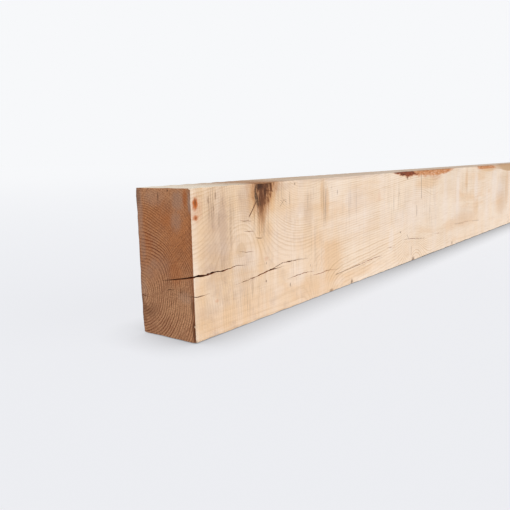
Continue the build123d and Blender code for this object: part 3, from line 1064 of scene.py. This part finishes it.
def lay_out_bake_map(mesh):
    """Lays the long faces in two runs, one over the other, and both ends at a larger scale."""
    layer = mesh.uv_layers.get(BAKE_MAP) or mesh.uv_layers.new(name=BAKE_MAP)
    walls = mesh.materials.find("check_walls")
    ends = mesh.materials.find("sawn_end_grain")
    half, wide, high = (
        round(size / MM) for size in (STOCK_LENGTH / 2, SECTION_WIDTH, SECTION_HEIGHT))
    rows = {}
    bottom = SHEET_GAP
    for run in (0, 1):
        for side, height in (("front", high), ("top", wide), ("back", high), ("under", wide)):
            rows[run, side] = bottom
            bottom += height + SHEET_GAP
    for polygon in mesh.polygons:
        if polygon.material_index == walls:
            continue
        normal = polygon.normal
        far_end = normal.x > 0
        run = 1 if polygon.center.x > 0 else 0
        if abs(normal.y) >= abs(normal.z):
            side = "front" if normal.y < 0 else "back"
        else:
            side = "top" if normal.z > 0 else "under"
        for loop in polygon.loop_indices:
            x, y, z = mesh.vertices[mesh.loops[loop].vertex_index].co / MM
            if polygon.material_index == ends:
                left = ENDS_LEFT + (ENDS_SCALE * high + SHEET_GAP if far_end else 0)
                u, v = left + z * ENDS_SCALE, bottom + (y + wide / 2) * ENDS_SCALE
            else:
                u = SHEET_GAP + x + (half if run == 0 else 0)
                v = rows[run, side] + (z if side in ("front", "back") else y + wide / 2)
            layer.data[loop].uv = (u / SHEET_SIDE, v / SHEET_SIDE)
    layer.active = True
    layer.active_render = True


class TIMBER_OT_plank(bpy.types.Operator):
    """Make the sawn timber with its checks cut into it"""
    bl_idname = "timber.plank"
    bl_label = "Sawn timber"

    def execute(self, context):
        sizes = context.scene.timber_sizes
        colours = context.scene.timber_colours
        groups = {
            "rings": growth_rings(sizes.ring_spacing),
            "saw": sawn_surface(sizes),
            "tones": weathering(),
            "marks": stained("Face marks", MARKS, on_front_face, STROKES),
            "end marks": stained("End marks", END_MARKS, on_checked_end),
            "log": wane_and_knot(),
        }
        side = side_grain("sawn_side_grain", colours, groups)
        end = end_grain("sawn_end_grain", colours, groups)
        walls = check_walls("check_walls", colours, groups)
        tree, sockets = sawn_plank_tree(sizes)
        plank = bpy.data.objects.new("sawn_timber", bpy.data.meshes.new("sawn_timber"))
        context.scene.collection.objects.link(plank)
        shaping = plank.modifiers.new("Sawn timber", "NODES")
        shaping.node_group = tree
        shaping[sockets["Side Grain"]] = side
        shaping[sockets["End Grain"]] = end
        frozen(plank)
        plank.data.attributes.remove(plank.data.attributes["end_face"])
        plank.data.uv_layers.new(name=BAKE_MAP)

        cutter = bpy.data.objects.new("check_cuts", all_cuts(walls, side))
        context.scene.collection.objects.link(cutter)
        cutting = plank.modifiers.new("Checks", "BOOLEAN")
        cutting.operation = "DIFFERENCE"
        cutting.solver = "MANIFOLD"
        cutting.material_mode = "TRANSFER"
        cutting.object = cutter
        frozen(plank)
        bpy.data.objects.remove(cutter)
        lay_out_bake_map(plank.data)
        plank.data.polygons.foreach_set("use_smooth", [True] * len(plank.data.polygons))
        plank.data.set_sharp_from_angle(angle=SHARP_ANGLE)
        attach(plank, "root")
        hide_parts("timber_plank")
        return {"FINISHED"}


class TIMBER_OT_stage(bpy.types.Operator):
    """Set up the camera, the ground and the light"""
    bl_idname = "timber.stage"
    bl_label = "Stage"

    def execute(self, context):
        stage = context.scene.timber_stage
        context.scene.view_settings.view_transform = "Standard"
        self.add_camera(context)
        self.add_floor(context, stage)
        sun_data = bpy.data.lights.new("key", "SUN")
        sun_data.energy = stage.key
        sun_data.angle = KEY_SPREAD
        sun = bpy.data.objects.new("key", sun_data)
        sun.rotation_euler = Vector(KEY_FROM).to_track_quat("Z", "Y").to_euler()
        context.scene.collection.objects.link(sun)

        world = bpy.data.worlds.new("studio")
        world.use_nodes = True
        context.scene.world = world
        make = Maker(world.node_tree)
        background = world.node_tree.nodes["Background"]
        seen = make.field(make.node("ShaderNodeLightPath"), "Is Camera Ray")
        make.feed(background.inputs["Color"], make.mix(seen, (1, 1, 1), stage.backdrop))
        make.feed(background.inputs["Strength"], seen * (1 - stage.dome) + stage.dome)
        return {"FINISHED"}

    def add_camera(self, context):
        data = bpy.data.cameras.new("camera")
        data.sensor_width = 36.0
        data.lens = FOCAL_PIXELS / FRAME_PIXELS * data.sensor_width
        data.clip_start = 0.01
        camera = bpy.data.objects.new("camera", data)
        forward = Vector((
            math.cos(CAMERA_YAW) * math.cos(CAMERA_PITCH),
            math.sin(CAMERA_YAW) * math.cos(CAMERA_PITCH),
            -math.sin(CAMERA_PITCH)))
        level = forward.cross(Vector((0, 0, 1))).normalized()
        down = forward.cross(level)
        right = level * math.cos(CAMERA_ROLL) + down * math.sin(CAMERA_ROLL)
        up = level * math.sin(CAMERA_ROLL) - down * math.cos(CAMERA_ROLL)
        turned = Matrix((right, up, -forward)).transposed()
        camera.matrix_world = Matrix.Translation(CAMERA_PLACE) @ turned.to_4x4()
        context.scene.collection.objects.link(camera)
        context.scene.camera = camera

    def add_floor(self, context, stage):
        bpy.ops.mesh.primitive_circle_add(
            vertices=128, radius=FLOOR_RADIUS, fill_type="NGON", location=(0, 0, -FLOOR_DROP))
        floor = context.object
        floor.name = "floor"
        material, make, shader, place = opened("floor", 1.0)
        shader.inputs["Specular IOR Level"].default_value = 0.0
        x, y, z = make.split(place)
        dx = x - CAMERA_PLACE.x
        dy = y - CAMERA_PLACE.y
        far = make.math("SQRT", dx * dx + dy * dy)
        fading = 1.0 - make.math("EXPONENT", (far - FADE_START) * -FADE_RATE)
        seen = make.field(make.node("ShaderNodeLightPath"), "Is Camera Ray")
        share = stage.ground_share
        make.feed(shader.inputs["Base Color"], make.mix(seen, BOUNCE_TONE, (share, share, share)))
        lit = share * stage.ground_light
        glow = make.mix(fading, [v - lit for v in stage.floor], [v - lit for v in stage.backdrop])
        open_sky = make.field(make.node(
            "ShaderNodeAmbientOcclusion", {"Distance": stage.contact_reach}, samples=16), "AO")
        depth = make.between(y, FRONT, BACK, to=(stage.contact_depth, stage.contact_depth * 0.7))
        depth = depth * make.between((x - NEAR) / MM, *CONTACT_GROWS, to=(0.72, 1.05))
        make.feed(shader.inputs["Emission Color"], glow)
        make.feed(shader.inputs["Emission Strength"], seen * (1.0 - (1.0 - open_sky) * depth))
        floor.data.materials.append(material)


class TIMBER_PT_tools(bpy.types.Panel):
    """Lists the timber's sizes, colours and light, and makes it again"""
    bl_idname = "TIMBER_PT_tools"
    bl_label = "Timber"
    bl_space_type = "VIEW_3D"
    bl_region_type = "UI"
    bl_category = "Timber"

    def draw(self, context):
        layout = self.layout
        for settings in ("timber_sizes", "timber_colours", "timber_stage"):
            box = layout.box()
            group = getattr(context.scene, settings)
            for name in group.bl_rna.properties.keys():
                if name not in ("name", "rna_type"):
                    box.prop(group, name)
        layout.operator(TIMBER_OT_plank.bl_idname)
        layout.operator(TIMBER_OT_stage.bl_idname)


CLASSES = (TimberSizes, TimberColours, TimberStage, TIMBER_OT_plank, TIMBER_OT_stage, TIMBER_PT_tools)


def register():
    for kind in CLASSES:
        bpy.utils.register_class(kind)
    bpy.types.Scene.timber_sizes = bpy.props.PointerProperty(type=TimberSizes)
    bpy.types.Scene.timber_colours = bpy.props.PointerProperty(type=TimberColours)
    bpy.types.Scene.timber_stage = bpy.props.PointerProperty(type=TimberStage)


def unregister():
    for settings in ("timber_sizes", "timber_colours", "timber_stage"):
        delattr(bpy.types.Scene, settings)
    for kind in reversed(CLASSES):
        bpy.utils.unregister_class(kind)


def main():
    register()
    bpy.ops.timber.stage()
    bpy.ops.timber.plank()


if __name__ == "__main__":
    main()
